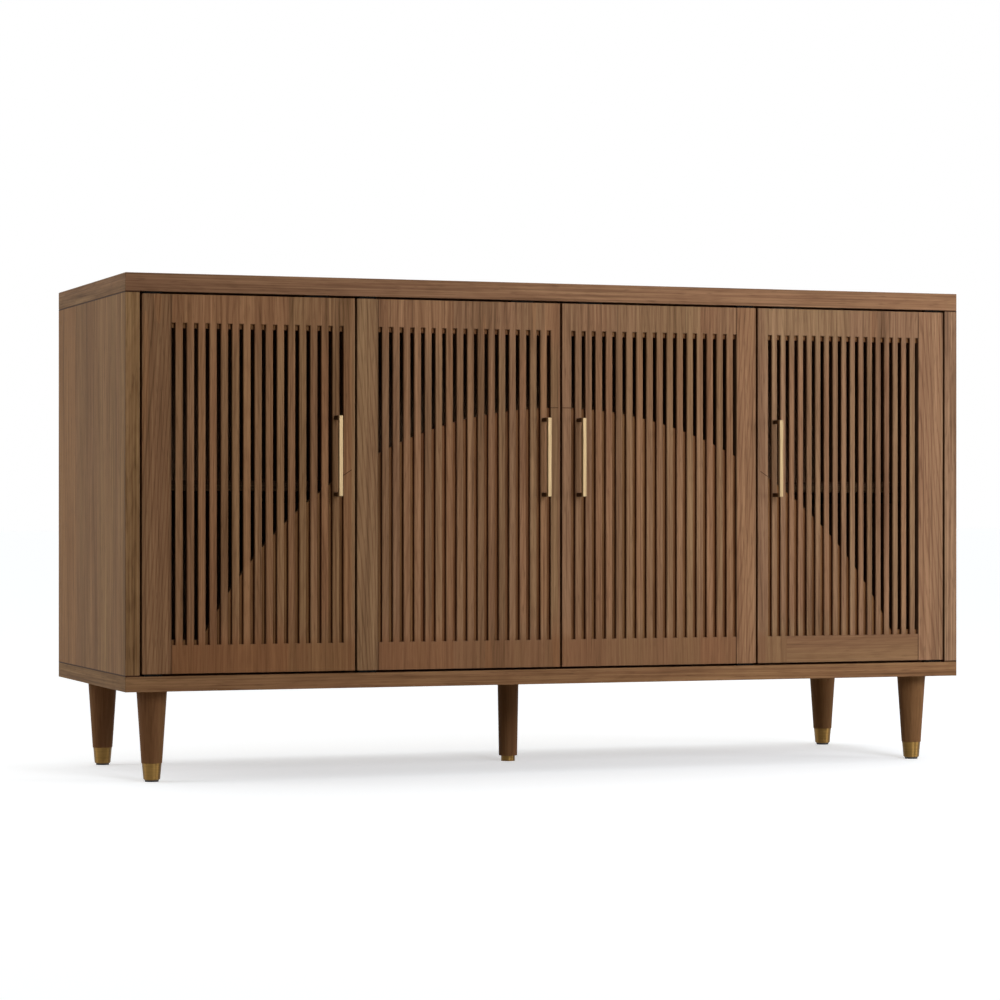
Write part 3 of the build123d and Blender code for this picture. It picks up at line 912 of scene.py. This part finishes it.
class SIDEBOARD_OT_hardware(bpy.types.Operator):
    """Finish the pulls, hinges and catches"""

    bl_idname = "sideboard.hardware"
    bl_label = "Hardware"

    def execute(self, context):
        hardware = context.scene.sideboard_hardware
        # Satin brass: brushed along the bar, drawn coarser than the brush lines, with painted shade
        # on the posts behind the bar
        grain = (1.2 * MM, 1.2 * MM, 60 * MM)
        brass = surface_finish(
            "brushed satin brass",
            hardware.pull_dark,
            hardware.pull_light,
            grain,
            roughness=0.45,
            metallic=1.0,
            painted_shade=(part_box("door_1_pull")[0].y + hardware.pull_bar, hardware.painted_shade),
        )
        dress(brass, *[f"door_{door}_pull" for door in DOORS])
        # Blackened steel: dull, slightly mottled
        grain = (6 * MM, 6 * MM, 6 * MM)
        steel = surface_finish(
            "blackened steel", "#0d0c0b", "#1c1a18", grain, roughness=0.7, metallic=1.0
        )
        dress(steel, "hinge_case_leaves", *[f"door_{door}_hinge_leaves" for door in DOORS])
        strikes = [f"door_{door}_strike" for door in DOORS]
        dress(zinc_plating("zinc plated steel"), "catch_magnets", *strikes)
        # Moulded catch case: a dull black plastic with a fine even texture
        case = surface_finish(
            "moulded catch case", "#0c0b0b", "#171614", MOULDED_GRAIN, roughness=0.75
        )
        dress(case, "catch_housings")
        return {"FINISHED"}


def select_faces(mesh, chosen):
    """Select only the faces that the test picks, in edit mode."""
    bpy.ops.object.mode_set(mode="OBJECT")
    for polygon in mesh.polygons:
        polygon.select = chosen(polygon)
    bpy.ops.object.mode_set(mode="EDIT")


def pan_head_screw(hardware):
    """One pan-head screw with a cross recess, upright on the origin."""
    bpy.ops.object.select_all(action="DESELECT")
    radius, rise = hardware.screw_head / 2, hardware.screw_rise
    bpy.ops.mesh.primitive_cylinder_add(
        vertices=HEAD_SIDES, radius=radius, depth=rise, location=(0, 0, rise / 2)
    )
    head = bpy.context.object
    bpy.ops.object.mode_set(mode="EDIT")
    bpy.ops.mesh.select_mode(type="FACE")
    select_faces(head.data, lambda face: face.normal.z > UPWARDS)
    bpy.ops.mesh.bevel(offset=HEAD_ROUNDING * rise, segments=HEAD_SEGMENTS, affect="EDGES")
    bpy.ops.object.mode_set(mode="OBJECT")
    # The recess: two crossed blades that narrow downwards
    blades = []
    long, narrow, deep = BLADE_LENGTH * radius, BLADE_WIDTH * radius, BLADE_DEPTH * rise
    for size in ((long, narrow, deep), (narrow, long, deep)):
        bpy.ops.mesh.primitive_cube_add(size=1, location=(0, 0, rise), scale=size)
        blade = bpy.context.object
        bpy.ops.object.mode_set(mode="EDIT")
        select_faces(blade.data, lambda face: face.normal.z < -UPWARDS)
        bpy.ops.transform.resize(value=(BLADE_TAPER, BLADE_TAPER, 1.0))
        bpy.ops.object.mode_set(mode="OBJECT")
        blades.append(blade)
    for blade in blades:
        recess = head.modifiers.new("recess", "BOOLEAN")
        recess.operation = "DIFFERENCE"
        recess.object = blade
        bpy.context.view_layer.objects.active = head
        bpy.ops.object.modifier_apply(modifier=recess.name)
    bpy.ops.object.select_all(action="DESELECT")
    for blade in blades:
        blade.select_set(True)
    bpy.ops.object.delete()
    bpy.context.view_layer.objects.active = head
    head.select_set(True)
    bpy.ops.object.transform_apply(location=True, rotation=True, scale=True)
    bpy.ops.object.shade_smooth_by_angle(angle=SMOOTH_ANGLE)
    return head


def set_screws(name, body, pattern, places, material):
    """Copy the screw to places on rear faces, join the copies and let them ride on a body."""
    copies = []
    for place in places:
        screw = pattern.copy()
        screw.data = pattern.data.copy()
        bpy.context.collection.objects.link(screw)
        screw.location = place
        screw.rotation_euler = (-math.pi / 2, 0, 0)
        copies.append(screw)
    bpy.ops.object.select_all(action="DESELECT")
    for screw in copies:
        screw.select_set(True)
    bpy.context.view_layer.objects.active = copies[0]
    bpy.ops.object.transform_apply(location=True, rotation=True, scale=True)
    bpy.ops.object.join()
    piece = bpy.context.object
    piece.name = name
    piece.data.materials.clear()
    piece.data.materials.append(material)
    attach(piece, body)


class SIDEBOARD_OT_screws(bpy.types.Operator):
    """Set the screws of the back board and of the pulls"""

    bl_idname = "sideboard.screws"
    bl_label = "Screws"

    def execute(self, context):
        hardware = context.scene.sideboard_hardware
        zinc = zinc_plating("zinc plated screws")
        screw = pan_head_screw(hardware)
        set_screws("back_screws", "carcass", screw, self.back_places(hardware), zinc)
        for door in DOORS:
            places = self.pull_places(door, hardware)
            set_screws(f"door_{door}_pull_screws", f"door_{door}", screw, places, zinc)
        bpy.ops.object.select_all(action="DESELECT")
        screw.select_set(True)
        bpy.ops.object.delete()
        return {"FINISHED"}

    def back_places(self, hardware):
        """Round the edge of the back board and along the dividers, evenly spaced."""
        low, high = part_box("back_panel")
        inset = hardware.back_screw_inset
        left, right, foot, head = low.x + inset, high.x - inset, low.z + inset, high.z - inset
        columns = math.ceil((right - left) / hardware.back_screw_spacing)
        rows = math.ceil((head - foot) / hardware.back_screw_spacing)
        across = [left + (right - left) * i / columns for i in range(columns + 1)]
        up = [foot + (head - foot) * i / rows for i in range(1, rows)]
        boards = [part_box(f"divider_{side}") for side in ("left", "right")]
        dividers = [sum(corner.x for corner in board) / 2 for board in boards]
        places = [(x, high.y, z) for x in across for z in (foot, head)]
        return places + [(x, high.y, z) for x in (left, *dividers, right) for z in up]

    def pull_places(self, door, hardware):
        """Behind the posts of the pull, on the board or, where its opening is, on the slats."""
        low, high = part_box(f"door_{door}_pull")
        middle = (low + high) / 2
        half = hardware.pull_centres / 2
        heights = (middle.z - half, middle.z + half)
        return [(middle.x, self.seat(door, middle.x, z), z) for z in heights]

    def seat(self, door, x, z):
        """The rear face of the door at a point."""
        faces = []
        for name in ("slats", "backing"):
            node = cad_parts[f"door_{door}_{name}"]
            hit, place, *_ = node.ray_cast(Vector((x, BEHIND, z)), FORWARDS)
            if hit:
                faces.append(place.y)
        return max(faces)


def seen_directly(tree):
    """A mask of the rays from the camera, from gloss and through glass."""
    rays = ("Camera", "Glossy", "Transmission")
    camera, gloss, glass = [add(tree, "LightPath", output=f"Is {ray} Ray") for ray in rays]
    seen = add(tree, "Math", {0: camera, 1: gloss}, operation="MAXIMUM")
    return add(tree, "Math", {0: seen, 1: glass}, operation="MAXIMUM")


class SIDEBOARD_OT_studio(bpy.types.Operator):
    """Set up the floor, the lamps and the camera"""

    bl_idname = "sideboard.studio"
    bl_label = "Studio"

    def execute(self, context):
        studio = context.scene.sideboard_studio
        context.scene.view_settings.view_transform = "Standard"
        self.floor(studio)
        self.room(context.scene, studio)
        self.softbox("key", studio.key_power, studio.key)
        self.softbox("fill", studio.fill_power, studio.fill)
        self.softbox("side", studio.side_power, studio.fill)
        bpy.ops.object.camera_add(
            location=studio.camera_place, rotation=(math.pi / 2, 0, -studio.camera_turn)
        )
        camera = context.object
        camera.data.lens = studio.lens
        camera.data.shift_y = studio.lift
        context.scene.camera = camera
        return {"FINISHED"}

    def floor(self, studio):
        """A white paper floor: shadows show on it, and the camera and gloss see the rest white."""
        bpy.ops.mesh.primitive_plane_add(size=FLOOR_SIZE)
        floor = bpy.context.object
        floor.name = "floor"
        material, tree, surface = new_material("white paper")
        seen = seen_directly(tree)
        bounce, white = linear(studio.floor_bounce), linear(studio.floor)
        paper = {FACTOR: seen, A_COLOUR: bounce, B_COLOUR: white}
        paper = add(tree, "Mix", paper, COLOUR_OUT, **COLOURS)
        paper = add(tree, "BsdfDiffuse", {"Color": paper})
        glow = add(tree, "Math", {0: seen, 1: studio.floor_lift}, operation="MULTIPLY")
        glow = add(tree, "Emission", {"Strength": glow})
        tree.links.new(add(tree, "AddShader", {0: paper, 1: glow}), surface)
        floor.data.materials.append(material)

    def room(self, scene, studio):
        """A white room that dims towards the front; the camera and gloss see white all round."""
        world = bpy.data.worlds.new("studio room")
        scene.world = world
        world.use_nodes = True
        tree = world.node_tree
        tree.nodes.clear()
        way = add(tree, "TexCoord", output="Generated")
        way = add(tree, "VectorMath", {0: way, 1: BRIGHT_WAY}, "Value", operation="DOT_PRODUCT")
        glow = add(tree, "MapRange", {"Value": way, "From Min": DIM_START, "To Min": studio.room})
        glow = add(tree, "Math", {0: glow, 1: seen_directly(tree)}, operation="MAXIMUM")
        glow = add(tree, "Background", {"Color": linear("#ffffff"), "Strength": glow})
        tree.links.new(glow, tree.nodes.new("ShaderNodeOutputWorld").inputs["Surface"])

    def softbox(self, name, power, colour):
        """A soft lamp at its place, turned towards its target."""
        place, target, size, spread = LAMPS[name]
        way = Vector(target) - Vector(place)
        turn = way.to_track_quat("-Z", "Y").to_euler()
        bpy.ops.object.light_add(type="AREA", location=place, rotation=turn)
        lamp = bpy.context.object
        lamp.name = name
        lamp.data.shape = "RECTANGLE"
        lamp.data.size, lamp.data.size_y = size
        lamp.data.spread = math.radians(spread)
        lamp.data.energy = power
        lamp.data.color = linear(colour)[:3]


class SIDEBOARD_PT_panel(bpy.types.Panel):
    """Sizes, colours and steps of the sideboard"""

    bl_label = "Sideboard"
    bl_idname = "SIDEBOARD_PT_panel"
    bl_space_type = "VIEW_3D"
    bl_region_type = "UI"
    bl_category = "Sideboard"

    def draw(self, context):
        for operator in STEPS:
            self.layout.operator(operator.bl_idname)
        for group in GROUPS:
            settings = getattr(context.scene, group)
            for name in GROUPS[group].__annotations__:
                self.layout.prop(settings, name)


GROUPS = {
    "sideboard_walnut": WalnutSettings,
    "sideboard_front": FrontSettings,
    "sideboard_hardware": HardwareSettings,
    "sideboard_studio": StudioSettings,
}
STEPS = (
    SIDEBOARD_OT_case,
    SIDEBOARD_OT_doors,
    SIDEBOARD_OT_legs,
    SIDEBOARD_OT_hardware,
    SIDEBOARD_OT_screws,
    SIDEBOARD_OT_studio,
)


def register():
    for group, settings in GROUPS.items():
        bpy.utils.register_class(settings)
        setattr(bpy.types.Scene, group, bpy.props.PointerProperty(type=settings))
    for cls in (*STEPS, SIDEBOARD_PT_panel):
        bpy.utils.register_class(cls)


def unregister():
    for cls in (SIDEBOARD_PT_panel, *reversed(STEPS)):
        bpy.utils.unregister_class(cls)
    for group, settings in GROUPS.items():
        delattr(bpy.types.Scene, group)
        bpy.utils.unregister_class(settings)


def main():
    register()
    bpy.ops.object.select_all(action="DESELECT")
    bpy.ops.sideboard.case()
    bpy.ops.sideboard.doors()
    bpy.ops.sideboard.legs()
    bpy.ops.sideboard.hardware()
    bpy.ops.sideboard.screws()
    bpy.ops.sideboard.studio()


if __name__ == "__main__":
    main()
